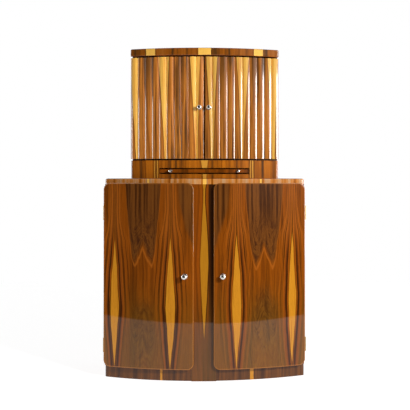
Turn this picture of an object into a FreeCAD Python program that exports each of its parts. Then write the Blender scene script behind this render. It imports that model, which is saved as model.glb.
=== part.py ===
import FreeCAD, Part
import math
import os

import Sketcher

# A bow-fronted bar cabinet in three stages: a cupboard with two doors, a waist with a pull-out
# serving board, and a top cupboard with two reeded doors.
# X runs to the right, Y to the back, Z up. The origin is on the floor, midway between the back
# and the foremost point of the case's bowed face. All sizes are in millimetres.

SIZES = {
    # the whole
    "total_height": 1650,
    "case_depth": 450,
    "running_gap": 3,
    "slip_gap": 0.3,
    "overrun": 5,
    # boards
    "side_thick": 22,
    "back_thick": 8,
    # lower cupboard
    "case_width": 1006,
    "face_radius": 1176,
    "deck_height": 1000,
    "deck_thick": 30,
    "deck_corner": 22,
    "deck_round": 9,
    "base_thick": 22,
    "divider_thick": 20,
    "column_width": 122,
    "column_thick": 20,
    "plinth_height": 60,
    "plinth_thick": 18,
    "plinth_recess": 8,
    "plinth_return": 40,
    "shelf_thick": 18,
    "shelf_setback": 40,
    # lower doors
    "door_overhang": 3,
    "door_thick": 22,
    "door_spacing": 98,
    "door_top_lap": 6,
    "door_corner": 32,
    "door_round": 5,
    "lower_knob_inset": 44,
    # waist with the serving board
    "waist_height": 89,
    "waist_inset": 133,
    "waist_corner": 14,
    "waist_front_thick": 24,
    "waist_setback": 60,
    "slot_inset": 146,
    "slot_height": 30,
    "slot_rise": 21,
    "board_thick": 18,
    "board_depth": 370,
    "board_travel": 240,
    "lipping_depth": 14,
    "runner_width": 26,
    "runner_top": 12,
    "groove_depth": 12,
    "board_knob_inset": 57,
    "peg_inset": 74,
    "peg_radius": 4,
    "peg_bore_depth": 10,
    "peg_reach": 12,
    # upper cupboard
    "upper_inset": 4,
    "upper_gap": 8,
    "slab_gap": 6,
    "slab_thick": 38,
    "slab_overhang": 3,
    "slab_corner": 14,
    "slab_round": 6,
    "upper_base_thick": 18,
    "upper_shelf_setback": 45,
    "glass_thick": 8,
    "mirror_thick": 4,
    "mirror_margin": 12,
    # upper doors
    "upper_door_overhang": 5,
    "upper_core_thick": 16,
    "meeting_gap": 5,
    "reed_foot": 2,
    "reed_bulge": 6.4,
    "reed_end_round": 1.8,
    "upper_knob_inset": 21,
    # hinges
    "hinge_height": 70,
    "upper_hinge_height": 60,
    "leaf_width": 24,
    "leaf_thick": 1.1,
    "leaf_seat_play": 0.1,
    "barrel_radius": 3.2,
    "hinge_pin_radius": 1.6,
    "upper_barrel_radius": 2.2,
    "upper_hinge_pin_radius": 1.1,
    "hinge_pin_head": 1.5,
    "shaft_play": 0.05,
    # knobs and their screws
    "lower_knob_radius": 14,
    "upper_knob_radius": 12,
    "board_knob_radius": 7.5,
    "screw_radius": 2,
    "screw_grip": 10,
    "screw_head_radius": 5,
    "screw_head_thick": 2.5,
    # shelf pins
    "pin_radius": 2.5,
    "pin_bore_depth": 8,
    "pin_reach": 10,
    "pin_inset": 50,
    # catches
    "catch_offset": 95,
    "catch_width": 40,
    "catch_depth": 16,
    "catch_height": 14,
    "strike_width": 30,
    "strike_height": 10,
    "strike_thick": 1,
}

REEDS = 10
KNUCKLES = 5
# how far the middles of the lower and the upper hinge stand from the door's ends, as shares of its height
LOWER_HINGE_SHARES = (0.109, 0.164)
UPPER_HINGE_SHARES = (0.206, 0.206)
KNOB_LENGTH_SHARE = 2.8
# a turned knob's outline: out as a share of its radius, along as a share of its length
KNOB_OUTLINE_SHARES = (
    (1.00, 0.00),
    (1.00, 0.06),
    (0.86, 0.10),
    (0.44, 0.15),
    (0.40, 0.46),
    (0.70, 0.57),
    (0.94, 0.69),
    (0.97, 0.79),
    (0.84, 0.91),
    (0.48, 0.98),
    (0.00, 1.00),
)
SIDES = ((-1, "left"), (1, "right"))
NEAR = 0.01
UP = FreeCAD.Vector(0, 0, 1)
DEPTHWISE = FreeCAD.Vector(0, 1, 0)

doc = FreeCAD.newDocument("BarCabinet")
sheet = doc.addObject("Spreadsheet::Sheet", "Sizes")
for row, (alias, amount) in enumerate(SIZES.items(), start=1):
    sheet.set(f"A{row}", alias)
    sheet.set(f"B{row}", str(amount))
    sheet.setAlias(f"B{row}", alias)
doc.recompute()
parts = []


class Size:
    """A length or angle that knows its value and the sheet expression that gives it."""

    def __init__(self, value, text):
        self.value = value
        self.text = text

    def join(self, sign, other, value):
        return Size(value, f"({self.text} {sign} {other.text})")

    def __add__(self, other):
        return self.join("+", other, self.value + other.value)

    def __sub__(self, other):
        return self.join("-", other, self.value - other.value)

    def __neg__(self):
        return Size(-self.value, f"(0 - {self.text})")

    def __mul__(self, other):
        if isinstance(other, Size):
            return self.join("*", other, self.value * other.value)
        return Size(self.value * other, f"({self.text} * {other!r})")

    def __truediv__(self, other):
        if isinstance(other, Size):
            return self.join("/", other, self.value / other.value)
        return Size(self.value / other, f"({self.text} / {other!r})")


class NamedSizes:
    """The driving sizes by name, as mm.case_width."""

    def __init__(self):
        for name, value in SIZES.items():
            setattr(self, name, Size(value, f"Sizes.{name}"))


mm = NamedSizes()
ZERO = Size(0, "0")
QUARTER_TURN = Size(90, "90")


def leg(longest, other):
    """A short side of a right-angled triangle."""
    value = math.sqrt(longest.value ** 2 - other.value ** 2)
    return Size(value, f"sqrt({longest.text}^2 - {other.text}^2)")


def arc_sine(share):
    return Size(math.degrees(math.asin(share.value)), f"asin({share.text})")


def sine(angle):
    return Size(math.sin(math.radians(angle.value)), f"sin({angle.text})")


def cosine(angle):
    return Size(math.cos(math.radians(angle.value)), f"cos({angle.text})")


# The bow. The case's face, both faces of every door, the plinth, the waist and the slab are
# parts of circles about one upright line behind the cabinet.
half_depth = mm.case_depth / 2
back = half_depth
inner_back = back - mm.back_thick
bow_centre = mm.face_radius - half_depth
plinth_radius = mm.face_radius - mm.plinth_recess
door_back_radius = mm.face_radius + mm.running_gap
door_front_radius = door_back_radius + mm.door_thick
waist_radius = door_front_radius - mm.waist_setback
waist_inner_radius = waist_radius - mm.waist_front_thick
reed_tip_radius = waist_radius
reed_root_radius = reed_tip_radius - mm.reed_bulge - mm.reed_foot
upper_back_radius = reed_root_radius - mm.upper_core_thick
upper_face_radius = upper_back_radius - mm.running_gap
slab_radius = waist_radius + mm.slab_overhang

# Widths from the middle.
half_case = mm.case_width / 2
inside = half_case - mm.side_thick
half_door = half_case + mm.door_overhang
half_opening = mm.door_spacing / 2
half_column = mm.column_width / 2
half_divider = mm.divider_thick / 2
half_waist = half_case - mm.waist_inset
half_slot = half_waist - mm.slot_inset
half_board = half_slot - mm.running_gap
half_upper = half_waist - mm.upper_inset
upper_inside = half_upper - mm.side_thick
half_upper_door = half_upper + mm.upper_door_overhang
half_meeting = mm.meeting_gap / 2

# Levels.
base_top = mm.plinth_height + mm.base_thick
deck_under = mm.deck_height - mm.deck_thick
door_low = mm.plinth_height
door_high = deck_under + mm.door_top_lap
slot_low = mm.deck_height + mm.slot_rise
slot_high = slot_low + mm.slot_height
board_low = slot_low + (mm.slot_height - mm.board_thick) / 2
board_high = board_low + mm.board_thick
waist_top = mm.deck_height + mm.waist_height
upper_base_top = waist_top + mm.upper_base_thick
slab_under = mm.total_height - mm.slab_thick
upper_door_low = waist_top + mm.upper_gap
upper_door_high = slab_under - mm.slab_gap


def bow(radius, x):
    """The Y of a bowed face at a distance from the middle."""
    return bow_centre - leg(radius, x)


def ring_point(radius, angle, along=ZERO):
    """The X and Y of a point at a distance and angle from the bow's centre line."""
    x = radius * sine(angle) + along * cosine(angle)
    y = bow_centre - radius * cosine(angle) + along * sine(angle)
    return x, y


column_back = bow(mm.face_radius - mm.column_thick, ZERO)


def keep(thing, label):
    """Name a finished sub-part and put it on the list of those that are written out."""
    thing.Label = label
    parts.append(thing)


def place(thing, x=ZERO, y=ZERO, z=ZERO, turn=None, about=UP):
    """Bind a piece's place, and its turn about an axis, to the sheet."""
    if turn is not None:
        thing.Placement = FreeCAD.Placement(FreeCAD.Vector(), FreeCAD.Rotation(about, QUARTER_TURN.value))
        thing.setExpression("Placement.Rotation.Angle", turn.text)
    thing.setExpression("Placement.Base.x", x.text)
    thing.setExpression("Placement.Base.y", y.text)
    thing.setExpression("Placement.Base.z", z.text)
    return thing


def block(name, low, high, turn=None, at=None):
    """A rectangular piece between two corners, or turned and put with its low corner at a place."""
    box = doc.addObject("Part::Box", name + "_block")
    for side, start, end in zip(("Length", "Width", "Height"), low, high):
        box.setExpression(side, (end - start).text)
    return place(box, *(at or low), turn)


def rod(name, radius, length, x, y, z, turn=None, about=UP):
    cylinder = doc.addObject("Part::Cylinder", name + "_rod")
    cylinder.setExpression("Radius", radius.text)
    cylinder.setExpression("Height", length.text)
    return place(cylinder, x, y, z, turn, about)


def cut(name, whole, tools):
    """Take tools out of a piece one after the other."""
    for tool in tools:
        result = doc.addObject("Part::Cut", name + "_cut")
        result.Base = whole
        result.Tool = tool
        whole = result
    return whole


def joined(name, pieces):
    """Several pieces made into one solid."""
    fusion = doc.addObject("Part::MultiFuse", name + "_joined")
    fusion.Shapes = pieces
    return fusion


def group(label, pieces):
    """Several separate solids kept as one node."""
    compound = doc.addObject("Part::Compound", label + "_group")
    compound.Links = pieces
    keep(compound, label)


def mirrored(side, inner, outer):
    """The lower and higher X of a stretch between two distances from the middle."""
    return (inner, outer) if side > 0 else (-outer, -inner)


def new_body(name):
    return doc.addObject("PartDesign::Body", name + "_body")


def outline(body, corners, arcs=None):
    """A closed level sketch through the corners; arcs gives a round side's centre and radius."""
    arcs = arcs or {}
    sketch = body.newObject("Sketcher::SketchObject", body.Name + "_outline")
    plane = next(item for item in body.Origin.OriginFeatures if item.Role == "XY_Plane")
    sketch.AttachmentSupport = [(plane, "")]
    sketch.MapMode = "FlatFace"
    ends = []
    for number, start in enumerate(corners):
        end = corners[(number + 1) % len(corners)]
        first = FreeCAD.Vector(start[0].value, start[1].value)
        last = FreeCAD.Vector(end[0].value, end[1].value)
        if number not in arcs:
            sketch.addGeometry(Part.LineSegment(first, last), False)
            ends.append((1, 2))
            continue
        centre_x, centre_y, radius = arcs[number]
        centre = FreeCAD.Vector(centre_x.value, centre_y.value)
        forward = (first - centre).cross(last - centre).z > 0
        ends.append((1, 2) if forward else (2, 1))
        angles = [math.atan2(point.y - centre.y, point.x - centre.x)
                  for point in ((first, last) if forward else (last, first))]
        if angles[1] < angles[0]:
            angles[1] += 2 * math.pi
        circle = Part.Circle(centre, UP, radius.value)
        sketch.addGeometry(Part.ArcOfCircle(circle, *angles), False)
    for number in range(len(corners)):
        after = (number + 1) % len(corners)
        sketch.addConstraint(
            Sketcher.Constraint("Coincident", number, ends[number][1], after, ends[after][0]))
    for number, corner in enumerate(corners):
        for kind, amount in zip(("DistanceX", "DistanceY"), corner):
            index = sketch.addConstraint(
                Sketcher.Constraint(kind, -1, 1, number, ends[number][0], amount.value))
            sketch.setExpression(f"Constraints[{index}]", amount.text)
    for number, (centre_x, centre_y, radius) in arcs.items():
        index = sketch.addConstraint(Sketcher.Constraint("Radius", number, radius.value))
        sketch.setExpression(f"Constraints[{index}]", radius.text)
    return sketch


def padded(name, corners, arcs, height):
    """An upright body with a level outline."""
    body = new_body(name)
    feature = body.newObject("PartDesign::Pad", body.Name + "_pad")
    feature.Profile = outline(body, corners, arcs)
    feature.setExpression("Length", height.text)
    doc.recompute()
    return body


def turned(name, corners):
    """A piece turned about its own Y axis, from an outline of distances out and along."""
    body = new_body(name)
    feature = body.newObject("PartDesign::Revolution", body.Name + "_turned")
    sketch = outline(body, corners)
    feature.Profile = sketch
    feature.ReferenceAxis = (sketch, ["V_Axis"])
    feature.Angle = 4 * QUARTER_TURN.value
    doc.recompute()
    return body


def rounded(body, radius, wanted):
    """Round the edges of the body's present shape that a test picks out."""
    base = body.Tip
    names = [f"Edge{number}" for number, edge in enumerate(base.Shape.Edges, start=1) if wanted(edge)]
    feature = body.newObject("PartDesign::Fillet", body.Name + "_round")
    feature.Base = (base, names)
    feature.setExpression("Radius", radius.text)
    doc.recompute()
    return feature


def upright(edge):
    box = edge.BoundBox
    return box.XLength < NEAR and box.YLength < NEAR


def fore_and_aft(edge):
    box = edge.BoundBox
    return box.XLength < NEAR and box.ZLength < NEAR


def at_level(edge, level):
    box = edge.BoundBox
    return abs(box.ZMin - level.value) < NEAR and abs(box.ZMax - level.value) < NEAR


def on_ring(edge, radius, centre_y=bow_centre):
    """True for an edge whose ends both lie at a distance from the bow's centre line."""
    return all(abs(math.hypot(vertex.X, vertex.Y - centre_y.value) - radius.value) < NEAR
               for vertex in edge.Vertexes)


def bowed_board(name, half_width, radius, low, thick, corner=None, edge_round=None, both_edges=False):
    """A level board with straight sides and back and a bowed front."""
    front = bow(radius, half_width)
    corners = [(half_width, back), (-half_width, back), (-half_width, front), (half_width, front)]
    body = padded(name, corners, {2: (ZERO, bow_centre, radius)}, thick)

    def ahead(edge):
        return edge.BoundBox.YMin < back.value - NEAR

    if corner is not None:
        rounded(body, corner, lambda edge: upright(edge) and ahead(edge))
    if edge_round is not None:
        for level in (ZERO, thick) if both_edges else (thick,):
            rounded(body, edge_round, lambda edge: at_level(edge, level) and ahead(edge))
    return place(body, z=low)


def bowed_strip(name, low_x, high_x, outer_radius, thick, low, height):
    """An upright bowed panel: part of a ring between two distances from the middle."""
    inner_radius = outer_radius - thick
    corners = [
        (low_x, bow(outer_radius, low_x)),
        (high_x, bow(outer_radius, high_x)),
        (high_x, bow(inner_radius, high_x)),
        (low_x, bow(inner_radius, low_x)),
    ]
    arcs = {0: (ZERO, bow_centre, outer_radius), 2: (ZERO, bow_centre, inner_radius)}
    return place(padded(name, corners, arcs, height), z=low)


def bow_cut_board(name, low_x, high_x, radius, low, thick, rear=back):
    """A board between two distances from the middle whose front edge follows the bow."""
    corners = [(low_x, bow(radius, low_x)), (high_x, bow(radius, high_x)), (high_x, rear), (low_x, rear)]
    return place(padded(name, corners, {0: (ZERO, bow_centre, radius)}, thick), z=low)


def plinth():
    """The frame that the cupboard stands on: a bowed front, two sides, a back and a cross rail."""
    inner = plinth_radius - mm.plinth_thick
    inner_x = half_case - mm.plinth_thick
    end_y = bow(plinth_radius, half_case)
    return_y = end_y + mm.plinth_return
    rear = back - mm.plinth_thick
    corners = [
        (-half_case, end_y),
        (half_case, end_y),
        (half_case, return_y),
        (inner_x, return_y),
        (inner_x, bow(inner, inner_x)),
        (-inner_x, bow(inner, inner_x)),
        (-inner_x, return_y),
        (-half_case, return_y),
    ]
    arcs = {0: (ZERO, bow_centre, plinth_radius), 4: (ZERO, bow_centre, inner)}
    front = padded("plinth_front", corners, arcs, mm.plinth_height)
    rounded(front, mm.deck_corner,
            lambda edge: upright(edge) and abs(edge.BoundBox.YMin - end_y.value) < NEAR)
    gap_for_column = block("plinth_gap", (-half_column, -half_depth - mm.overrun, -mm.overrun),
                           (half_column, column_back, mm.plinth_height + mm.overrun))
    keep(cut("plinth_front", front, [gap_for_column]), "plinth_front")
    for side, word in SIDES:
        low_x, high_x = mirrored(side, inner_x, half_case)
        board = block(f"plinth_{word}", (low_x, return_y, ZERO), (high_x, back, mm.plinth_height))
        keep(board, f"plinth_{word}")
    keep(block("plinth_back", (-inner_x, rear, ZERO), (inner_x, back, mm.plinth_height)), "plinth_back")
    half_rail = mm.plinth_thick / 2
    rail = block("plinth_rail", (-half_rail, bow(inner, half_rail), ZERO),
                 (half_rail, rear, mm.plinth_height))
    keep(rail, "plinth_cross_rail")


def across(name, radius, length, start, y, z, direction):
    """A round bar that runs level from a start, to the right (1) or to the left (-1)."""
    return rod(name, radius, length, start, y, z, QUARTER_TURN * direction, DEPTHWISE)


def pin_rows(half_inside, face_radius, setback, shelf_under):
    """The depths and the height of the pins under a shelf."""
    front = bow(face_radius, half_inside) + setback
    level = shelf_under - mm.pin_radius - mm.shaft_play
    return (front + mm.pin_inset, level), (inner_back - mm.pin_inset, level)


lower_shelf_low = (base_top + deck_under - mm.shelf_thick) / 2
upper_shelf_low = (upper_base_top + slab_under - mm.glass_thick) / 2
lower_pins = pin_rows(inside, mm.face_radius, mm.shelf_setback, lower_shelf_low)
upper_pins = pin_rows(upper_inside, upper_face_radius, mm.upper_shelf_setback, upper_shelf_low)


def pin_bores(wall, direction, rows):
    """Blind bores sunk into an upright board from its face."""
    return [across("pin_bore", mm.pin_radius + mm.shaft_play, mm.pin_bore_depth, wall, y, z, direction)
            for y, z in rows]


def shelf_pins():
    """Round metal pins, half in a bore and half under a shelf."""
    pins = []
    length = mm.pin_bore_depth + mm.pin_reach
    walls = []
    for side, word in SIDES:
        walls.append((inside * side, side, lower_pins))
        walls.append((half_divider * side, -side, lower_pins))
        walls.append((upper_inside * side, side, upper_pins))
    for wall, direction, rows in walls:
        start = wall - mm.pin_reach * direction
        pins.extend(across("shelf_pin", mm.pin_radius, length, start, y, z, direction) for y, z in rows)
    group("shelf_pins", pins)


def centre_column():
    """The post between the doors, whose bowed face runs from the floor to the deck."""
    face = bow(mm.face_radius, half_column)
    corners = [(-half_column, face), (half_column, face), (half_column, column_back),
               (-half_column, column_back)]
    keep(padded("centre_column", corners, {0: (ZERO, bow_centre, mm.face_radius)}, deck_under),
         "centre_column")


def lower_case():
    """The cupboard's boards: base, sides, divider, back and one shelf in each bay."""
    base = bowed_board("lower_base", half_case, mm.face_radius, mm.plinth_height, mm.base_thick)
    gap_for_column = block("base_gap",
                           (-half_column, -half_depth - mm.overrun, mm.plinth_height - mm.overrun),
                           (half_column, column_back, base_top + mm.overrun))
    keep(cut("lower_base", base, [gap_for_column]), "lower_base")
    divider = block("lower_divider", (-half_divider, column_back, base_top),
                    (half_divider, inner_back, deck_under))
    bores = pin_bores(-half_divider, 1, lower_pins) + pin_bores(half_divider, -1, lower_pins)
    keep(cut("lower_divider", divider, bores), "lower_divider")
    keep(block("lower_back", (-inside, inner_back, base_top), (inside, back, deck_under)), "lower_back")
    shelf_radius = mm.face_radius - mm.column_thick - mm.shelf_setback
    for side, word in SIDES:
        low_x, high_x = mirrored(side, inside, half_case)
        board = bow_cut_board(f"lower_{word}_side", low_x, high_x, mm.face_radius, base_top,
                              deck_under - base_top)
        keep(cut(f"lower_{word}_side", board, pin_bores(inside * side, side, lower_pins)),
             f"lower_{word}_side")
        low_x, high_x = mirrored(side, half_divider + mm.slip_gap, inside - mm.slip_gap)
        shelf = bow_cut_board(f"lower_{word}_shelf", low_x, high_x, shelf_radius,
                              lower_shelf_low, mm.shelf_thick, inner_back - mm.slip_gap)
        keep(shelf, f"lower_{word}_shelf")


def deck():
    """The thick board between the cupboard and the waist, with soft front corners and edge."""
    keep(bowed_board("deck", half_case, mm.face_radius, deck_under, mm.deck_thick, mm.deck_corner,
                     mm.deck_round), "deck")


def waist():
    """The low stage that holds the serving board: rails above and below the slot, end blocks,
    sides, back and two grooved runners."""

    def rail(name, low, high):
        body = bowed_strip(name, -half_waist, half_waist, waist_radius, mm.waist_front_thick, low,
                           high - low)
        rounded(body, mm.waist_corner, lambda edge: upright(edge) and on_ring(edge, waist_radius))
        keep(body, name)

    rail("waist_lower_rail", mm.deck_height, slot_low)
    rail("waist_upper_rail", slot_high, waist_top)
    side_low = mm.deck_height
    for side, word in SIDES:
        low_x, high_x = mirrored(side, half_slot, half_waist)
        body = bowed_strip(f"waist_{word}_block", low_x, high_x, waist_radius, mm.waist_front_thick,
                           slot_low, mm.slot_height)
        rounded(body, mm.waist_corner,
                lambda edge: upright(edge) and on_ring(edge, waist_radius)
                and abs(abs(edge.BoundBox.XMin) - half_waist.value) < NEAR)
        keep(body, f"waist_{word}_block")
        low_x, high_x = mirrored(side, half_waist - mm.side_thick, half_waist)
        keep(bow_cut_board(f"waist_{word}_side", low_x, high_x, waist_inner_radius, side_low,
                           mm.waist_height), f"waist_{word}_side")
        runner(side, word)
    low = (-half_waist + mm.side_thick, inner_back, side_low)
    keep(block("waist_back", low, (-low[0], back, waist_top)), "waist_back")


def runner(side, word):
    """A grooved strip on the deck in which the serving board slides."""
    inner_x = half_board + mm.slip_gap - mm.groove_depth
    outer_x = inner_x + mm.runner_width
    low_x, high_x = mirrored(side, inner_x, outer_x)
    front = bow(waist_inner_radius, outer_x)
    strip = block(f"{word}_runner", (low_x, front, mm.deck_height),
                  (high_x, inner_back, board_high + mm.runner_top))
    low_x, high_x = mirrored(side, inner_x - mm.overrun, half_board + mm.slip_gap)
    groove = block(f"{word}_groove", (low_x, front - mm.overrun, board_low - mm.slip_gap),
                   (high_x, inner_back + mm.overrun, board_high + mm.slip_gap))
    keep(cut(f"{word}_runner", strip, [groove]), f"{word}_runner")


def serving_board():
    """The pull-out board with its bowed lipping, two small knobs and two stop pegs."""
    lipping_radius = waist_radius - mm.lipping_depth
    rear = bow(waist_radius, ZERO) + mm.board_depth
    board = bow_cut_board("serving_board", -half_board, half_board, lipping_radius, board_low,
                          mm.board_thick, rear)
    peg_x = half_slot - mm.peg_inset
    peg_y = bow(waist_inner_radius, peg_x) + mm.board_travel + mm.peg_radius + mm.slip_gap
    bores = []
    pegs = []
    for side, word in SIDES:
        bores.append(rod("peg_bore", mm.peg_radius + mm.shaft_play, mm.peg_bore_depth + mm.overrun,
                         peg_x * side, peg_y, board_low - mm.overrun))
        pegs.append(rod("peg", mm.peg_radius, mm.peg_bore_depth + mm.peg_reach,
                        peg_x * side, peg_y, board_low - mm.peg_reach))
    keep(cut("serving_board", board, bores), "serving_board")
    group("board_pegs", pegs)
    keep(bowed_strip("board_lipping", -half_board, half_board, waist_radius, mm.lipping_depth, board_low,
                     mm.board_thick), "board_lipping")
    knobs = []
    level = (board_low + board_high) / 2
    for side, word in SIDES:
        angle = arc_sine((half_slot - mm.board_knob_inset) / waist_radius) * side
        knobs.append(knob("board_knob", mm.board_knob_radius, waist_radius, angle, level))
    group("board_knobs", knobs)


def knob(name, radius, face_radius, angle, level):
    """A turned knob that stands square on a bowed face."""
    length = radius * KNOB_LENGTH_SHARE
    corners = [(ZERO, ZERO)]
    for out_share, along_share in KNOB_OUTLINE_SHARES:
        out = radius * out_share if out_share else ZERO
        corners.append((out, -(length * along_share) if along_share else ZERO))
    return place(turned(name, corners), *ring_point(face_radius, angle), level, angle)


def fixed_knob(name, radius, face_radius, door_thick, angle, level):
    """A door's knob with the screw that holds it, and the hole that the screw needs."""
    bore_radius = mm.screw_radius + mm.shaft_play
    hole_radius = mm.screw_radius + mm.slip_gap
    spot = ring_point(face_radius, angle)
    bore = turned(f"{name}_bore", [(ZERO, ZERO), (bore_radius, ZERO), (bore_radius, -mm.screw_grip),
                                   (ZERO, -mm.screw_grip)])
    place(bore, *spot, level, angle)
    keep(cut(name, knob(name, radius, face_radius, angle, level), [bore]), name)
    seat = door_thick + mm.shaft_play
    head = seat + mm.screw_head_thick
    screw = turned(f"{name}_screw", [(ZERO, head), (mm.screw_head_radius, head),
                                     (mm.screw_head_radius, seat), (mm.screw_radius, seat),
                                     (mm.screw_radius, -mm.screw_grip), (ZERO, -mm.screw_grip)])
    keep(place(screw, *spot, level, angle), f"{name}_screw")
    deep = door_thick + mm.overrun
    hole = turned(f"{name}_hole", [(ZERO, deep), (hole_radius, deep), (hole_radius, -mm.overrun),
                                   (ZERO, -mm.overrun)])
    return place(hole, *spot, level, angle)


def lower_doors():
    """Two bowed doors with round corners and soft edges that lie over the case's face."""
    height = door_high - door_low
    for side, word in SIDES:
        low_x, high_x = mirrored(side, half_opening, half_door)
        body = bowed_strip(f"lower_{word}_door", low_x, high_x, door_front_radius, mm.door_thick,
                           door_low, height)
        rounded(body, mm.door_corner, fore_and_aft)
        rounded(body, mm.door_round, lambda edge: on_ring(edge, door_front_radius))
        angle = arc_sine((half_opening + mm.lower_knob_inset) / door_front_radius) * side
        hole = fixed_knob(f"lower_{word}_knob", mm.lower_knob_radius, door_front_radius, mm.door_thick,
                          angle, (door_low + door_high) / 2)
        keep(cut(f"lower_{word}_door", body, [hole]), f"lower_{word}_door")
        strike(f"lower_{word}_strike", side, door_back_radius, door_high - mm.door_top_lap)


def upper_case():
    """The top cupboard: base, sides, back, mirror, glass shelf and the slab on top."""
    keep(bowed_board("upper_base", half_upper, upper_face_radius, waist_top, mm.upper_base_thick),
         "upper_base")
    for side, word in SIDES:
        low_x, high_x = mirrored(side, upper_inside, half_upper)
        board = bow_cut_board(f"upper_{word}_side", low_x, high_x, upper_face_radius, upper_base_top,
                              slab_under - upper_base_top)
        keep(cut(f"upper_{word}_side", board, pin_bores(upper_inside * side, side, upper_pins)),
             f"upper_{word}_side")
    keep(block("upper_back", (-upper_inside, inner_back, upper_base_top), (upper_inside, back, slab_under)),
         "upper_back")
    mirror_x = upper_inside - mm.mirror_margin
    mirror_front = inner_back - mm.mirror_thick
    keep(block("mirror", (-mirror_x, mirror_front, upper_base_top),
               (mirror_x, inner_back, slab_under - mm.mirror_margin)), "mirror")
    shelf_x = upper_inside - mm.slip_gap
    shelf = bow_cut_board("glass_shelf", -shelf_x, shelf_x, upper_face_radius - mm.upper_shelf_setback,
                          upper_shelf_low, mm.glass_thick, mirror_front - mm.slip_gap)
    keep(shelf, "glass_shelf")
    half_slab = half_upper_door + mm.slab_overhang
    keep(bowed_board("top_slab", half_slab, slab_radius, slab_under, mm.slab_thick, mm.slab_corner,
                     mm.slab_round, both_edges=True), "top_slab")


def reed(name, half_angle, height):
    """One convex upright moulding, set out about the bow's centre line."""
    foot_radius = reed_root_radius + mm.reed_foot
    half_chord = foot_radius * sine(half_angle)
    foot_y = -(foot_radius * cosine(half_angle))
    root_x = reed_root_radius * sine(half_angle)
    root_y = -(reed_root_radius * cosine(half_angle))
    radius = (half_chord * half_chord + mm.reed_bulge * mm.reed_bulge) / (mm.reed_bulge * 2)
    corners = [(-root_x, root_y), (root_x, root_y), (half_chord, foot_y), (-half_chord, foot_y)]
    arcs = {0: (ZERO, ZERO, reed_root_radius), 2: (ZERO, foot_y - mm.reed_bulge + radius, radius)}
    body = padded(name, corners, arcs, height)
    for level in (ZERO, height):
        rounded(body, mm.reed_end_round,
                lambda edge: at_level(edge, level) and on_ring(edge, foot_radius, ZERO))
    return body


def upper_doors():
    """Two bowed doors, each a curved core with a row of reeds glued side by side on its face."""
    height = upper_door_high - upper_door_low
    first = arc_sine(half_meeting / reed_root_radius)
    last = arc_sine(half_upper_door / reed_root_radius)
    half_pitch = (last - first) / (2 * REEDS)
    for side, word in SIDES:
        low_x, high_x = mirrored(side, half_meeting, half_upper_door)
        core = bowed_strip(f"upper_{word}_core", low_x, high_x, reed_root_radius, mm.upper_core_thick,
                           upper_door_low, height)
        knob_angle = arc_sine((half_meeting + mm.upper_knob_inset) / reed_tip_radius) * side
        hole = fixed_knob(f"upper_{word}_knob", mm.upper_knob_radius, reed_tip_radius,
                          reed_tip_radius - upper_back_radius, knob_angle,
                          (upper_door_low + upper_door_high) / 2)
        keep(cut(f"upper_{word}_door", core, [hole]), f"upper_{word}_door")
        reeds = []
        for number in range(REEDS):
            piece = reed("reed", half_pitch, height)
            angle = (first + half_pitch * (2 * number + 1)) * side
            place(piece, ZERO, bow_centre, upper_door_low, angle)
            edge_angles = [first.value + half_pitch.value * 2 * step for step in (number, number + 1)]
            drilled = edge_angles[0] < abs(knob_angle.value) < edge_angles[1]
            reeds.append(cut("reed", piece, [hole]) if drilled else piece)
        group(f"upper_{word}_reeds", reeds)
        strike(f"upper_{word}_strike", side, upper_back_radius, slab_under)


def strike(name, side, back_radius, level):
    """A thin metal plate on a door's back that the catch holds."""
    angle = arc_sine(mm.catch_offset / back_radius) * side
    seat = back_radius - mm.leaf_seat_play
    half_width = mm.strike_width / 2
    middle = level - mm.catch_height / 2
    low = middle - mm.strike_height / 2
    plate = block(name, (ZERO, ZERO, ZERO), (mm.strike_width, mm.strike_thick, mm.strike_height), angle,
                  (*ring_point(seat, angle, -half_width), low))
    keep(plate, name)


def catches():
    """Catch blocks under the deck and under the slab, one for each door."""
    pieces = []
    for face_radius, level in ((mm.face_radius, deck_under), (upper_face_radius, slab_under)):
        for side, word in SIDES:
            angle = arc_sine(mm.catch_offset / face_radius) * side
            spot = ring_point(face_radius, angle, -(mm.catch_width / 2))
            size = (mm.catch_width, mm.catch_depth, mm.catch_height)
            pieces.append(block("catch", (ZERO, ZERO, ZERO), size, angle,
                                (*spot, level - mm.catch_height)))
    group("catches", pieces)


class HingeKind:
    """The sizes of one stage's butt hinges and the place of their axes."""

    def __init__(self, face_radius, door_low, door_high, shares, height, barrel, pin, axis_x, seat_x, setback):
        seat_radius = face_radius + mm.running_gap / 2
        door_height = door_high - door_low
        self.height = height
        self.starts = (door_low + door_height * shares[0] - height / 2,
                       door_high - door_height * shares[1] - height / 2)
        self.barrel = barrel
        self.pin = pin
        self.turn = arc_sine(seat_x / seat_radius)
        self.axis_x = axis_x
        self.setback = setback
        self.axis_y = (bow(seat_radius, seat_x) + (axis_x - seat_x) * sine(self.turn) / cosine(self.turn)
                       + setback / cosine(self.turn))


def hinge_kinds():
    """Below, the barrels stand beside the doors' edges. Above, they are smaller and lie behind the
    doors' overhang, beside the case."""
    below = HingeKind(mm.face_radius, door_low, door_high, LOWER_HINGE_SHARES, mm.hinge_height,
                      mm.barrel_radius, mm.hinge_pin_radius,
                      half_door + mm.barrel_radius + mm.slip_gap, half_door - mm.leaf_width / 2, ZERO)
    above = HingeKind(upper_face_radius, upper_door_low, upper_door_high, UPPER_HINGE_SHARES,
                      mm.upper_hinge_height, mm.upper_barrel_radius, mm.upper_hinge_pin_radius,
                      half_upper + mm.upper_barrel_radius + mm.slip_gap,
                      half_upper - mm.leaf_width / 2,
                      mm.upper_barrel_radius + mm.slip_gap - mm.running_gap / 2)
    return {"lower": below, "upper": above}


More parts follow.
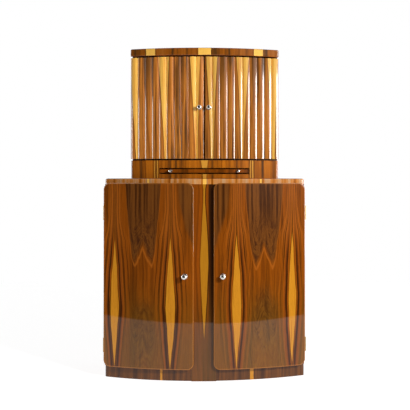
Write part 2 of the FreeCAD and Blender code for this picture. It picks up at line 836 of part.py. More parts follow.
def hinge_leaf(name, kind, side, low, towards_door):
    """One leaf of a butt hinge with its own knuckles, bored for the pin."""
    x = kind.axis_x * side
    y = kind.axis_y
    turn = kind.turn * side
    knuckle = kind.height / KNUCKLES
    near = mm.running_gap / 2 - mm.leaf_thick - mm.leaf_seat_play
    root = kind.barrel + mm.slip_gap
    seat = (-(near + mm.leaf_thick) if towards_door else near + mm.leaf_seat_play) - kind.setback

    def plate(out_low, out_high, start, height):
        """A flat stretch of the leaf, given by its distances from the axis."""
        reach = -out_high if side > 0 else out_low
        place_x = x + reach * cosine(turn) - seat * sine(turn)
        place_y = y + reach * sine(turn) + seat * cosine(turn)
        return block(name, (ZERO, ZERO, ZERO), (out_high - out_low, mm.leaf_thick, height), turn,
                     (place_x, place_y, start))

    pieces = [plate(root, mm.leaf_width, low, kind.height)]
    for number in range(KNUCKLES):
        if (number % 2 == 1) != towards_door:
            continue
        start = low + knuckle * number + mm.slip_gap / 2
        height = knuckle - mm.slip_gap
        pieces.append(plate(ZERO, root, start, height))
        pieces.append(rod(name, kind.barrel, height, x, y, start))
    bore = rod(f"{name}_bore", kind.pin + mm.shaft_play, kind.height + mm.overrun * 2, x, y,
               low - mm.overrun)
    return cut(name, joined(name, pieces), [bore])


def hinges():
    """Butt hinges at the doors' outer edges: leaves on the case, leaves on the doors and pins."""
    case_leaves = []
    pins = []
    for stage, kind in hinge_kinds().items():
        for side, word in SIDES:
            door_leaves = []
            for low in kind.starts:
                case_leaves.append(hinge_leaf("case_leaf", kind, side, low, False))
                door_leaves.append(hinge_leaf("door_leaf", kind, side, low, True))
                x = kind.axis_x * side
                shank = rod("hinge_pin", kind.pin, kind.height, x, kind.axis_y, low)
                head = rod("hinge_pin_head", kind.barrel, mm.hinge_pin_head, x, kind.axis_y,
                           low + kind.height)
                pins.append(joined("hinge_pin", [shank, head]))
            group(f"{stage}_{word}_door_leaves", door_leaves)
    group("hinge_case_leaves", case_leaves)
    group("hinge_pins", pins)


def check_document():
    """Stop when any object failed to build or any sub-part isn't a sound shape."""
    doc.recompute()
    for item in doc.Objects:
        if any(word in item.State for word in ("Invalid", "Error")):
            raise RuntimeError(f"{item.Label} failed to build")
    for item in parts:
        if item.Shape.isNull() or not item.Shape.isValid() or not item.Shape.Solids:
            raise RuntimeError(f"{item.Label} has no sound shape")


plinth()
centre_column()
lower_case()
deck()
waist()
serving_board()
lower_doors()
upper_case()
upper_doors()
shelf_pins()
catches()
hinges()
check_document()
os.makedirs("parts", exist_ok=True)
for part in parts:
    part.Shape.exportStep(f"parts/{part.Label}.step")
print(len(parts), "sub-parts written")
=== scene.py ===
import math
from functools import cache

import bmesh
import bpy
from bpy.props import FloatProperty, FloatVectorProperty, PointerProperty
from mathutils import Matrix, Vector


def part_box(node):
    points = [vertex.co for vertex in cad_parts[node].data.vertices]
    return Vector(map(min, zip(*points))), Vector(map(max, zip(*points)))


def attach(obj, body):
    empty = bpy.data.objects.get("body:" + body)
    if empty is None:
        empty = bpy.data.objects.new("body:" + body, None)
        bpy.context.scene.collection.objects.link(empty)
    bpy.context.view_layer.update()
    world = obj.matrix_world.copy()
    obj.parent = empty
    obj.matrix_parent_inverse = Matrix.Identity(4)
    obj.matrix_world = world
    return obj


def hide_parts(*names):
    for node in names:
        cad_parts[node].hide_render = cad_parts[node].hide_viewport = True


bl_info = {
    "name": "Bow-Fronted Bar Cabinet",
    "version": (1, 0, 0),
    "blender": (4, 5, 0),
    "location": "3D View > Sidebar > Cabinet",
    "description": "Veneers, fittings, glass and a studio for a bow-fronted bar cabinet",
    "category": "Object",
}

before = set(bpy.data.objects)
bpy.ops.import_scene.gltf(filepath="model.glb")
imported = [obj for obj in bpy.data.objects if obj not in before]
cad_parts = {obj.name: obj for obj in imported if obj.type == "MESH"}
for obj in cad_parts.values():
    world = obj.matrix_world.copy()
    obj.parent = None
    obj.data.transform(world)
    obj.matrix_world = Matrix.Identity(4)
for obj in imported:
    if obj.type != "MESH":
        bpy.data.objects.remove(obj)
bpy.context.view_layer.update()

# The bows of the case, the doors and the slab are drawn about one upright line behind the cabinet.
BOW_CENTRE = Vector((0.0, 0.951, 0.0))
UP = Vector((0.0, 0.0, 1.0))
SIDES = ((-1, "left"), (1, "right"))
DOORS = ("lower_left", "lower_right", "upper_left", "upper_right")

# Pale flames on the lower doors: middle, half width, foot, widest place and tip, as shares of the
# door's width and height.
LOWER_FLAME_SHARES = {
    "lower_left_door": ((0.129, 0.048, 0.00, 0.331, 0.692), (0.750, 0.052, 0.00, 0.331, 0.710)),
    "lower_right_door": ((0.246, 0.052, 0.00, 0.346, 0.722), (0.852, 0.043, 0.01, 0.360, 0.732)),
}
# The dark plume on each lower door: middle, reach of its two points and of its shoulders, height of
# its notch, its points and its top, as shares of the door's width and height.
PLUME_SHARES = {
    "lower_left_door": (0.450, 0.090, 0.190, 0.650, 0.565, 0.93),
    "lower_right_door": (0.545, 0.084, 0.200, 0.655, 0.545, 0.93),
}
# The dark smudge under each plume: middle, half width, height and half height, as such shares, and
# its strength.
SMUDGE_SHARES = {
    "lower_left_door": (0.450, 0.170, 0.215, 0.190, 0.72),
    "lower_right_door": (0.560, 0.160, 0.270, 0.190, 0.80),
}
# Pale flames on the upper doors: middle and half width at the top, middle and half width at the
# bottom, as shares of the door's width.
UPPER_FLAME_SHARES = {
    "upper_left": ((0.050, 0.068, 0.090, 0.016), (0.455, 0.075, 0.492, 0.018), (0.882, 0.070, 0.910, 0.016)),
    "upper_right": ((0.095, 0.076, 0.100, 0.018), (0.512, 0.085, 0.508, 0.015), (0.925, 0.072, 0.925, 0.022)),
}
# Pale stripes on the cross-banded edges: middle and half width at the top, then at the bottom, as
# shares of the band's width.
STRIPE_SHARES = {
    "top_slab": ((0.140, 0.031, 0.140, 0.031), (0.503, 0.042, 0.503, 0.042), (0.861, 0.030, 0.861, 0.030)),
    "waist": ((0.502, 0.024, 0.503, 0.011), (0.165, 0.0025, 0.165, 0.0025), (0.184, 0.003, 0.184, 0.003),
              (0.811, 0.003, 0.811, 0.003), (0.826, 0.004, 0.826, 0.004)),
    "deck": ((0.504, 0.009, 0.504, 0.009), (0.225, 0.005, 0.225, 0.005), (0.780, 0.005, 0.780, 0.005)),
    "plinth": ((0.290, 0.006, 0.290, 0.006), (0.735, 0.009, 0.735, 0.009)),
}
# Painted light and shade on the upper doors: how much lighter or darker each door's veneer is painted, to
# even out the lamps' light between them.
PAINTED_SHEET_LIGHT_SHARES = {"upper_left": 1.20, "upper_right": 0.88}
# Painted light on each lower door: how much lighter its veneer is painted at its left edge, where the lamps
# light it less, and how far that reaches, as a share of the door's width.
OUTER_PAINTED_LIGHT_SHARES = {"lower_left_door": 0.28, "lower_right_door": 0.0}
OUTER_PAINTED_LIGHT_REACH_SHARE = 0.35
# The column's flame: middle as a share of the column's width, half width likewise, then foot, widest
# place and neck as shares of its height.
COLUMN_FLAME_SHARES = (0.516, 0.165, 0.21, 0.60, 0.975)

# How far the grain strays to the side, in metres: in slow waves, and in small jitters.
DOOR_SWAY = 0.012
DOOR_JITTER = 0.0025
REED_SWAY = 0.006
REED_JITTER = 0.002
BAND_JITTER = 0.003
COLUMN_SWAY = 0.006
# How far the lower doors' flames and plumes stray up and down, and how far their lines reach.
FLAME_SWAY = 0.03
PLUME_DRIFT = 0.060
LINES_REACH = 0.062

# Stretches in metres over which the lower doors' figure fades in or out: outwards from the edge of
# a flame,
FLAME_EDGE = (-0.0012, 0.0010)
GLEAM_START = (0.001, 0.006)
GLEAM_END = (0.046, 0.066)
LINES_END = (0.036, 0.066)
THREADS_END = (0.050, 0.085)
FOOT_START = (0.010, 0.045)
# upwards from the edge of a plume,
PLUME_EDGE = (-0.012, 0.044)
RIM_START = (-0.024, -0.008)
RIM_END = (-0.006, 0.008)
# and across the edge of the dark corner, the painted highlight along the rounded rim, and the back.
CORNER_EDGE = (-0.018, 0.004)
CORNER_REACH = 0.082
CORNER_DRIFT = 0.02
RIM_HIGHLIGHT_EDGE = (-0.0065, -0.0025)
REAR_EDGE = (-0.002, 0.002)
# Such stretches as shares of the height of a lower door.
UPPER_PART_SHARES = (0.60, 0.80)
CROWN_SHARES = (0.70, 0.88)
BROWN_FOOT_SHARES = (0.10, 0.55)
CORNER_SHARES = (0.56, 0.70)
CORNER_SPREAD_SHARES = (0.55, 0.95)

# The same on the upper doors, outwards from the edge of a flame, and as a share of their height.
UPPER_FLAME_EDGE = (-0.0016, 0.0012)
UPPER_SHADE_END = (0.004, 0.016)
UPPER_SHADE_REACH = 0.02
DUSK_SHARES = (0.45, 1.0)

# The same on the cross-banding, outwards from the edge of a stripe and forwards from the back.
STRIPE_EDGE = (-0.001, 0.0012)
STRIPE_SHADE_START = (0.0, 0.001)
STRIPE_SHADE_END = (0.003, 0.009)
BACK_EDGE = (-0.004, -0.002)

# The same on the column, outwards from the edge of its flame,
COLUMN_FLAME_EDGE = (-0.001, 0.001)
COLUMN_LINES_END = (0.018, 0.04)
COLUMN_LINES_REACH = 0.04
# and to the right of the flame's middle, for the painted light on the column's left and the painted shadow
# that the right door casts on its right. The flame's neck starts below its tip and widens upwards.
COLUMN_PAINTED_SHADOW_START = (0.014, 0.027)
COLUMN_PAINTED_LIGHT_END = (-0.016, 0.006)
COLUMN_NECK_HALF = 0.0045
COLUMN_NECK_LENGTH = 0.14
COLUMN_NECK_SPREAD_SHARE = 0.16

# A turned knob, out as shares of its radius and along as shares of its length: the outline of its
# flange, the end of its waist, the end of its hollow stem and its collar,
FLANGE_SHARES = ((1.0, 0.0), (1.0, 0.045), (0.985, 0.06), (0.93, 0.072))
WAIST_SHARES = (0.39, 0.202)
STEM_END_SHARE = 0.462
STEM_HOLLOW_SHARE = 0.015
COLLAR_SHARES = (0.44, 0.475)
# and its round head: how far out it comes, where its middle is and how far it reaches along.
HEAD_SHARES = (0.97, 0.74, 0.26)
HEAD_START = math.radians(-62)
HEAD_FULLNESS = 0.85
# A ring narrower than this is a single point.
POINT_SHARE = 0.0001
KNOB_TURNS = 48
WAIST_STEPS = 8
STEM_STEPS = 5
HEAD_STEPS = 18

REEDS = 10
REED_STEPS = 16
END_STEPS = 5

# Each lamp's place, the point it faces, its width and its height, in metres.
LAMPS = {
    "key_softbox": ((2.9, -0.74, 1.25), (0.2, -0.1, 1.25), 1.65, 1.75),
    "fill_softbox": ((-3.1, -0.50, 1.05), (-0.35, -0.2, 1.05), 0.7, 1.4),
    "key_wash": ((1.95, -2.8, 1.9), (0.0, -0.2, 0.8), 0.35, 0.35),
}
# Where the room that gloss sees lights up, by how far a direction points up, right and back.
ROOM_UP = (-0.09, 0.10)
ROOM_RIGHT = (0.12, 0.50)
ROOM_BACK = (-0.30, 0.20)
PICTURE_SIDE = 410
FLOOR_STEPS = 64


def linear(part):
    """A display value from 0 to 1 as the linear value that a shader takes."""
    return part / 12.92 if part <= 0.04045 else ((part + 0.055) / 1.055) ** 2.4


def colour(name, description, *display):
    """A colour given by its red, green and blue in display values from 0 to 255."""
    value = tuple(linear(part / 255) for part in display)
    return FloatVectorProperty(name=name, description=description, default=value, subtype="COLOR",
                               min=0, max=1)


def number(name, description, value, **kind):
    return FloatProperty(name=name, description=description, default=value, **kind)


def metres(name, description, value):
    return number(name, description, value, subtype="DISTANCE", unit="LENGTH")


def share(name, description, value):
    return number(name, description, value, subtype="FACTOR", min=0, max=1)


class CABINET_PG_veneer(bpy.types.PropertyGroup):
    """Colours and figure of the veneers."""

    gold: colour("Sapwood", "Pale flames on the lower doors", 190, 125, 30)
    # A darker copy of the sapwood: painted shade, because the column's flame stands in less light.
    column_shaded_gold: colour("Column sapwood", "The column's flame", 172, 114, 24)
    pale_amber: colour("Pale amber", "Stripes above the flames of the lower doors", 160, 86, 22)
    pale_gold: colour("Pale sapwood", "Flames on the upper doors and the slab", 242, 186, 84)
    flame_vein: colour("Sapwood vein", "Veins in the flames of the upper doors", 222, 144, 46)
    amber: colour("Amber", "Lighter heartwood", 142, 71, 9)
    brown: colour("Brown", "Middle heartwood", 100, 49, 5)
    dark: colour("Dark", "Dark lines and the plume", 52, 26, 6)
    red: colour("Red", "Reddish bands beside the flames", 112, 51, 12)
    # Lit copies of amber and brown: painted light, because the upper doors stand in more light than the lower
    # ones. The deck, the slab and the lower doors' painted rim highlight use them too.
    painted_lit_amber: colour("Bright amber", "Lighter heartwood of the upper doors", 201, 124, 46)
    painted_lit_brown: colour("Bright brown", "Middle heartwood of the upper doors", 155, 89, 28)
    waist_brown: colour("Waist brown", "Middle heartwood of the waist", 142, 76, 13)
    waist_amber: colour("Waist amber", "Lighter heartwood of the waist", 181, 102, 20)
    plume: colour("Plume", "The plumes on the lower doors", 86, 48, 17)
    plume_dark: colour("Plume, dark", "Darkest feathers of the plumes", 60, 31, 13)
    plume_light: colour("Plume, light", "Lightest feathers of the plumes", 110, 63, 21)
    foot_dark: colour("Foot, dark", "Darker grain at the foot of the lower doors", 80, 52, 12)
    foot_light: colour("Foot, light", "Lighter grain at the foot of the lower doors", 112, 76, 18)
    # Partly the deck's pale streaks and partly a painted highlight on its rounded edge.
    deck_pale_and_painted_highlight: colour("Deck", "Lighter streaks of the deck's edge", 198, 156, 112)
    waist_gold: colour("Waist stripes", "Pale stripes of the waist and the deck", 204, 142, 50)
    umber: colour("Umber", "Dark streaks of the upper doors", 82, 50, 20)
    plain: colour("Plain wood", "Insides, shelves and backs", 128, 84, 46)
    plain_dark: colour("Plain wood, dark", "Dark grain of the insides", 92, 56, 28)
    door_middle: metres("Middle of the doors", "From the bow's centre line to the lower doors' middle", 1.190)
    door_corner: metres("Corners of the doors", "Radius of the lower doors' corners", 0.032)
    streak_pitch: metres("Streak pitch", "Width of the broad streaks", 0.022)
    streak_length: metres("Streak length", "Length of the broad streaks", 0.9)
    streak_sway: metres("Streak sway", "How far the broad streaks stray to the side", 0.02)
    grain_pitch: metres("Grain pitch", "Width of the fine grain", 0.0016)
    grain_length: metres("Grain length", "Length of the fine grain", 0.06)
    lacquer: share("Lacquer roughness", "Roughness of the gloss lacquer", 0.03)
    reed_lacquer: share("Reed lacquer roughness", "Roughness of the gloss lacquer on the reeds", 0.13)
    lacquer_index: number("Lacquer index", "How strongly the lacquer mirrors", 1.40)
    reed_index: number("Reed lacquer index", "How strongly the lacquer on the reeds mirrors", 1.75)
    pore_depth: metres("Pore depth", "How deep the filled pores still show", 0.000006)
    open_pore_depth: metres("Open pore depth", "How deep the pores of plain wood are", 0.0002)
    timber: share("Timber roughness", "Roughness of the timber under the lacquer", 0.55)


class CABINET_PG_reeds(bpy.types.PropertyGroup):
    """Sizes of the reeds on the upper doors."""

    tip_radius: metres("Bow over the reeds", "From the bow's centre line to the reeds' crests", 1.141)
    bulge: metres("Bulge", "How far a reed stands out beyond its straight foot", 0.0064)
    foot: metres("Foot", "Height of a reed's straight foot", 0.002)
    meeting: metres("Meeting gap", "Gap between the two doors", 0.005)
    end_round: metres("End rounding", "Radius at the reeds' top and bottom", 0.0018)


class CABINET_PG_fittings(bpy.types.PropertyGroup):
    """Colours and surfaces of metal, mirror and glass."""

    nickel: colour("Nickel", "Knobs, pins, catches and screws", 214, 210, 202)
    nickel_roughness: share("Nickel roughness", "Roughness of the bright metal", 0.10)
    nickel_mottle: share("Nickel mottle", "How uneven the bright metal is", 0.04)
    brass: colour("Brass", "Hinges", 170, 142, 88)
    brass_roughness: share("Brass roughness", "Roughness of the dulled metal", 0.34)
    brass_mottle: share("Brass mottle", "How uneven the dulled metal is", 0.14)
    rub_depth: metres("Rub marks", "How deep the metal's rub marks are", 0.00002)
    mirror: colour("Mirror", "Silvered back of the upper cupboard", 226, 230, 230)
    mirror_spots: colour("Mirror spots", "Where the silvering has dulled", 150, 146, 138)
    glass: colour("Glass", "The upper shelf", 222, 240, 234)


class CABINET_PG_studio(bpy.types.PropertyGroup):
    """Camera, floor and lamps."""

    eye_right: metres("Camera to the right", "Camera, right of the middle", 0.1787)
    eye_front: metres("Camera in front", "Camera, in front of the origin", 4.25)
    eye_height: metres("Camera height", "Camera above the floor", 0.950)
    turn: number("Turn", "Turn to the right", math.radians(1.7), subtype="ANGLE")
    tilt: number("Tilt", "Tilt upwards", math.radians(0.3), subtype="ANGLE")
    focal_pixels: number("Focal length", "Focal length in pixels", 815.8)
    middle_across: number("Middle across", "Pixel the camera points at", 264.4)
    middle_down: number("Middle down", "Pixel the camera points at", 184.0)
    floor_front: metres("Floor in front", "How far the floor reaches in front", 1.98)
    floor_back: metres("Floor behind", "How far the floor reaches behind", 4.0)
    floor_side: metres("Floor beside", "How far the floor reaches to each side", 2.9)
    floor_dark: colour("Floor, darker", "Darker clouds of the floor", 160, 160, 160)
    floor_light: colour("Floor, lighter", "Lighter clouds of the floor", 168, 168, 168)
    floor_glow: share("Floor's light", "How light the floor is without the lamps", 0.90)
    room_level: share("Room level", "Light of the room on all sides", 0.14)
    room_front: share("Room in front", "What gloss sees of the room in front", 0.04)
    room_beside: share("Room beside", "What gloss sees at the right, above eye height", 0.80)
    room_behind: number("Room behind", "What gloss sees behind and above", 2.2)
    key_level: number("Key", "Power of the right softbox", 130, unit="POWER")
    wash_level: number("Wash", "Power of the right lamp", 104, unit="POWER")
    fill_level: number("Fill", "Power of the left softbox", 24, unit="POWER")


def math_node(operation, swapped=False):
    """A method that adds the Math node of one operation, with its two values swapped if asked."""

    def method(self, *others):
        values = (*others, self) if swapped else (self, *others)
        return self.finish.node("ShaderNodeMath", {"operation": operation}, *values)

    return method


class Value:
    """A node's output that can stand in a sum: each sum adds its Math node."""

    def __init__(self, finish, socket):
        self.finish = finish
        self.socket = socket

    __add__ = math_node("ADD")
    __radd__ = math_node("ADD", swapped=True)
    __sub__ = math_node("SUBTRACT")
    __rsub__ = math_node("SUBTRACT", swapped=True)
    __mul__ = math_node("MULTIPLY")
    __rmul__ = math_node("MULTIPLY", swapped=True)
    __truediv__ = math_node("DIVIDE")
    __pow__ = math_node("POWER")
    __abs__ = math_node("ABSOLUTE")
    least = math_node("MINIMUM")
    most = math_node("MAXIMUM")


class Graph:
    """A shader tree and the ways to add nodes to it."""

    def __init__(self, tree):
        self.tree = tree

    def node(self, kind, settings=None, *values, output=0, **named):
        made = self.tree.nodes.new(kind)
        for name, setting in (settings or {}).items():
            if name == "stops":
                self.set_stops(made.color_ramp, setting)
            else:
                setattr(made, name, setting)
        for place, value in [*enumerate(values), *named.items()]:
            self.feed(made.inputs[place if isinstance(place, int) else place.replace("_", " ")], value)
        return Value(self, made.outputs[output])

    def set_stops(self, ramp, stops):
        while len(ramp.elements) < len(stops):
            ramp.elements.new(1)
        for element, (position, tint) in zip(ramp.elements, stops):
            element.position = position
            element.color = (*tint, 1)

    def feed(self, socket, value):
        if isinstance(value, Value):
            self.tree.links.new(value.socket, socket)
        elif isinstance(value, (int, float)):
            socket.default_value = value
        else:
            parts = tuple(value)
            socket.default_value = (*parts, 1) if len(socket.default_value) > len(parts) else parts

    def directions(self, output):
        """One output of the coordinates node, taken apart into x, y and z."""
        place = self.node("ShaderNodeTexCoord", output=output)
        split = self.node("ShaderNodeSeparateXYZ", None, place)
        return [Value(self, part) for part in split.socket.node.outputs]

    def noise(self, x, y, z, detail=2.0, roughness=0.5):
        place = self.node("ShaderNodeCombineXYZ", None, x, y, z)
        return self.node("ShaderNodeTexNoise", None, Vector=place, Scale=1.0, Detail=detail,
                         Roughness=roughness)

    def smooth(self, value, low, high):
        """0 below low, 1 above high and a smooth step between them."""
        return self.node("ShaderNodeMapRange", {"interpolation_type": "SMOOTHSTEP"}, value, low, high,
                         0.0, 1.0)

    def fade(self, value, low, high):
        """1 below low, 0 above high and a smooth step between them."""
        return 1 - self.smooth(value, low, high)

    def mix(self, amount, first, second):
        return self.mixed("RGBA", 2, 6, amount, first, second)

    def shade(self, tint, amount):
        """A colour made lighter or darker by a factor."""
        return self.node("ShaderNodeVectorMath", {"operation": "SCALE"}, tint, Scale=amount)

    def ramp(self, value, stops):
        return self.node("ShaderNodeValToRGB", {"stops": stops}, value)

    def blend(self, amount, first, second):
        return self.mixed("FLOAT", 0, 2, amount, first, second)

    def mixed(self, kind, output, start, amount, first, second):
        """A Mix node of one data type, whose two values stand in the sockets from start."""
        made = self.node("ShaderNodeMix", {"data_type": kind}, output=output)
        for place, value in ((0, amount), (start, first), (start + 1, second)):
            self.feed(made.socket.node.inputs[place], value)
        return made

    def bump(self, height, distance, strength=1.0):
        return self.node("ShaderNodeBump", None, Strength=strength, Distance=distance, Height=height)


class Finish(Graph):
    """One material, its Principled shader and the nodes that feed it."""

    def __init__(self, name):
        self.material = bpy.data.materials.new(name)
        self.material.use_nodes = True
        super().__init__(self.material.node_tree)
        self.shader = self.tree.nodes["Principled BSDF"]

    def set(self, **inputs):
        for name, value in inputs.items():
            self.feed(self.shader.inputs[name.replace("_", " ")], value)
        return self

    def facing(self):
        """How far the surface faces up or down, from 0 on an upright face to 1 on a level one."""
        return abs(self.directions("Normal")[2])


class Sheet:
    """The box that a figure is laid out in, by shares of its width and height."""

    def __init__(self, nodes):
        boxes = [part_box(node) for node in nodes]
        self.low = Vector([min(box[0][axis] for box in boxes) for axis in range(3)])
        self.high = Vector([max(box[1][axis] for box in boxes) for axis in range(3)])
        self.width = self.high.x - self.low.x
        self.height = self.high.z - self.low.z

    def across(self, part):
        return self.low.x + part * self.width

    def level(self, part):
        return self.low.z + part * self.height

    def levels(self, parts):
        return [self.level(part) for part in parts]

    def rise(self, z):
        """How high a point stands, from 0 at the foot to 1 at the top."""
        return ((z - self.low.z) / self.height).most(0.0).least(1.0)


def new_finish(name):
    """A finish, and the piece's own coordinates in metres."""
    finish = Finish(name)
    return finish, *finish.directions("Object")


def wear(finish, *pieces):
    """Puts a finish on made pieces, or on carried-over nodes given by name."""
    for piece in pieces:
        mesh = (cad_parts[piece] if isinstance(piece, str) else piece).data
        mesh.materials.clear()
        mesh.materials.append(finish.material)


def lacquered(finish, look, tint, fine, contrast, light=1.0, reeded=False):
    """Finishes timber with gloss lacquer, thicker on the reeds. The fine grain lightens and darkens
    the tint by its contrast, and light scales it to paint light and shade into it."""
    return finish.set(
        Base_Color=finish.shade(tint, (1 - contrast / 2 + contrast * fine) * light),
        Roughness=look.timber + 0.2 * fine,
        Normal=finish.bump(fine, distance=look.pore_depth, strength=0.5),
        Coat_Weight=1.0,
        Coat_Roughness=look.reed_lacquer if reeded else look.lacquer,
        IOR=1.45,
        Coat_IOR=look.reed_index if reeded else look.lacquer_index,
        Specular_IOR_Level=0.0,
    )


def fine_grain(finish, look, across, deep, along):
    """Fine lines and short pores along the grain, about 0.5."""
    inward = deep / look.grain_pitch
    lines = finish.noise(across / look.grain_pitch, inward, along / look.grain_length, detail=3)
    pores = finish.noise(across / (look.grain_pitch * 0.5), inward, along * 55)
    return lines * 0.72 + finish.smooth(pores, 0.30, 0.52) * 0.28


def streaks(finish, look, across, deep, along, seed=0.0):
    """Broad streaks along the grain, about 0.5."""
    wander = finish.noise(deep, seed, along * 2.6) - 0.5
    place = (across + wander * look.streak_sway) / look.streak_pitch
    inward = deep / look.streak_pitch + seed
    return finish.noise(place, inward, along / look.streak_length, detail=4, roughness=0.62)


def flame(across, along, sheet, shares):
    """How far a point lies outside a long pale flame that tapers to both ends. The shares give its
    middle, half width, foot, widest place and tip."""
    middle, half, foot, widest, tip = shares
    foot, widest, tip = sheet.levels((foot, widest, tip))
    over = (along - widest) / (tip - widest)
    under = (widest - along) / (widest - foot)
    spread = over.most(under).most(0.0).least(1.2)
    reach = (1 - spread ** 1.3) * (half * sheet.width)
    closing = (over - 1).most(0.0).least(0.4) * 2.4 + 1
    return (abs(across - sheet.across(middle)) - reach.most(0.0)) * closing


def tapering_flame(across, rise, sheet, shares):
    """How far a point lies outside a flame that narrows downwards. The rise goes from 0 to 1, and
    the shares give the flame's middle and half width at the top, then at the bottom."""
    top, half_top, bottom, half_bottom = shares
    middle = rise ** 0.8 * ((top - bottom) * sheet.width) + sheet.across(bottom)
    reach = rise ** 1.45 * ((half_top - half_bottom) * sheet.width) + half_bottom * sheet.width
    return abs(across - middle) - reach


def least_of(values):
    least = values[0]
    for value in values[1:]:
        least = least.least(value)
    return least


def flame_lines(finish, look, sheet, tint, outside, z, wander):
    """Adds the dark and pale lines that follow the flames, with a gleam in the door's upper part."""
    seed = sheet.low.x
    lines = outside / LINES_REACH + (finish.noise(outside * 170, 0.0, z * 2.2 + seed) - 0.5) * 0.20
    band = finish.ramp(lines, (
        (0.00, look.dark), (0.03, look.dark), (0.05, look.amber), (0.12, look.amber), (0.16, look.dark),
        (0.25, look.dark), (0.31, look.red), (0.46, look.amber), (0.50, look.brown), (0.54, look.dark),
        (0.58, look.brown), (0.66, look.amber), (0.92, look.amber), (1.00, look.amber)))
    tint = finish.mix(finish.fade(outside, *LINES_END) * 0.88, tint, band)
    upper = finish.smooth(z, *sheet.levels(UPPER_PART_SHARES))
    gleam = finish.smooth(outside, *GLEAM_START) * finish.fade(outside, *GLEAM_END)
    tint = finish.mix(upper * gleam * 0.5, tint, look.pale_amber)
    near = finish.fade(outside, *THREADS_END)
    threads = finish.noise(outside * 210, seed, z * 1.6 + wander, detail=3)
    tint = finish.mix(finish.smooth(threads, 0.53, 0.62) * near * 0.75, tint, look.dark)
    sweep = finish.noise(outside * 60, seed + 2.0, z * 1.2 + wander)
    tint = finish.mix(finish.smooth(sweep, 0.56, 0.64) * upper * near * 0.5, tint, look.dark)
    return finish.mix(finish.fade(threads, 0.34, 0.45) * near * 0.35, tint, look.pale_amber)


def plume_edge(sheet, across, shares):
    """The level of a plume's lower edge, which has a notch between two points."""
    middle, points, shoulders, notch, tips, top = shares
    offset = abs(across - sheet.across(middle))
    reach = points * sheet.width
    inner = (reach - offset).most(0.0) / reach
    outer = (offset - reach).most(0.0) / ((shoulders - points) * sheet.width)
    climb = outer ** 1.9 * ((top - tips) * sheet.height)
    return inner * ((notch - tips) * sheet.height) + climb + sheet.level(tips)


def feathering(finish, across, depth, drift):
    """Feathers crossed by waves, about 0.5."""
    feathers = finish.noise(across * 62, drift * 3, depth * 17, detail=5, roughness=0.66)
    waves = finish.noise(across * 9, 3.0, depth * 62 + drift * 4, detail=3, roughness=0.6)
    return feathers * 0.55 + waves * 0.45


def smudge(finish, sheet, across, z, drift, shares):
    """How strong the round dark smudge under a plume is."""
    middle, half_width, centre, half_height, strength = shares
    sideways = (across - sheet.across(middle)) / (half_width * sheet.width)
    upwards = (z + abs(sideways) * 0.03 - sheet.level(centre)) / (half_height * sheet.height)
    return finish.fade(sideways ** 2.0 + upwards ** 2.0 + drift * 1.4, 0.1, 1.2) * strength


def dark_corner(finish, sheet, x, z, drift):
    """How strong the dark corner at the top of a door's meeting side is."""
    meeting_side = sheet.low.x if sheet.low.x > 0 else sheet.high.x
    reach = finish.smooth(z, *sheet.levels(CORNER_SPREAD_SHARES)) * CORNER_REACH
    corner = finish.fade(abs(x - meeting_side) - reach + drift * CORNER_DRIFT, *CORNER_EDGE)
    return corner * finish.smooth(z, *sheet.levels(CORNER_SHARES))


def painted_rim_highlight(finish, sheet, x, z, corner):
    """How near a point lies to a door's rounded rim, for a painted highlight along it."""
    past_side = abs(x - sheet.across(0.5)) - (sheet.width / 2 - corner)
    past_end = abs(z - sheet.level(0.5)) - (sheet.height / 2 - corner)
    past = (past_side.most(0.0) ** 2.0 + past_end.most(0.0) ** 2.0) ** 0.5
    return finish.smooth(past - corner, *RIM_HIGHLIGHT_EDGE)


